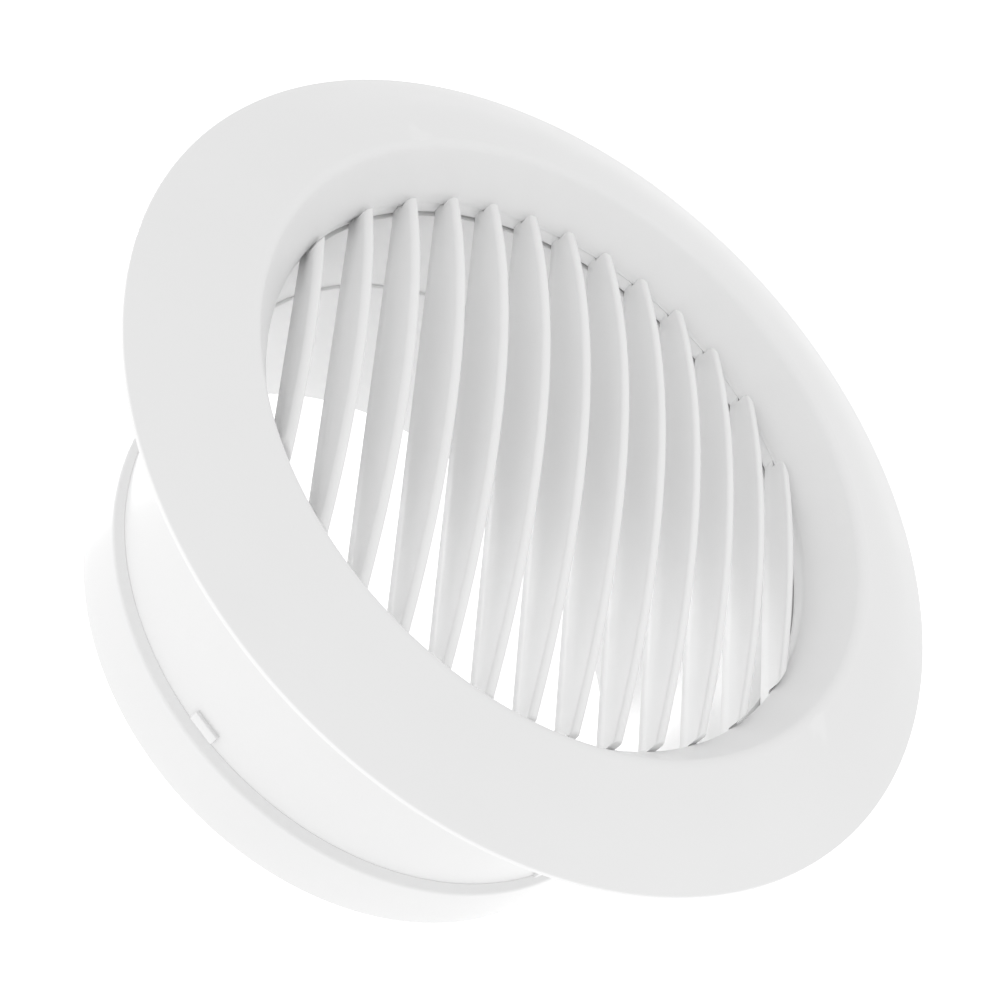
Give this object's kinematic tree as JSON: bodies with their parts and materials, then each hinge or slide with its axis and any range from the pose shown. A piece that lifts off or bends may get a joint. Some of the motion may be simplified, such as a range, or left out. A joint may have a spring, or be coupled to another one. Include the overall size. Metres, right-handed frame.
{
  "type": "louvred vent grille",
  "caption": "Round louvred vent grille with a domed flange and a duct spigot. Its louvre insert turns in the opening to aim the air.",
  "frame": {"origin": "centre of the rear rim of the spigot, which the grille stands on with its face up", "axes": "+Z along the spigot's axis, out of the grille's face; +Y along the louvres; +X across them"},
  "size_m": [0.14, 0.14, 0.0651],
  "materials": {
    "face_plastic": "white ABS moulding, satin to gloss",
    "spigot_plastic": "white ABS moulding, gloss",
    "louvre_plastic": "white ABS moulding, satin"
  },
  "bodies": {
    "housing": {"face_frame": "face_plastic", "spigot_tube": "spigot_plastic", "rear_collar": "spigot_plastic"},
    "louvres": {"louvre_ring": "louvre_plastic", "louvre_01": "louvre_plastic", "louvre_02": "louvre_plastic", "louvre_03": "louvre_plastic", "louvre_04": "louvre_plastic", "louvre_05": "louvre_plastic", "louvre_06": "louvre_plastic", "louvre_07": "louvre_plastic", "louvre_08": "louvre_plastic", "louvre_09": "louvre_plastic", "louvre_10": "louvre_plastic", "louvre_11": "louvre_plastic", "louvre_12": "louvre_plastic", "louvre_13": "louvre_plastic"}
  },
  "joints": [
    {"name": "louvre_turn", "type": "hinge", "parent": "housing", "child": "louvres", "pos_m": [0, 0, 0.05275], "axis": [0, 0, 1], "continuous": true}
  ]
}
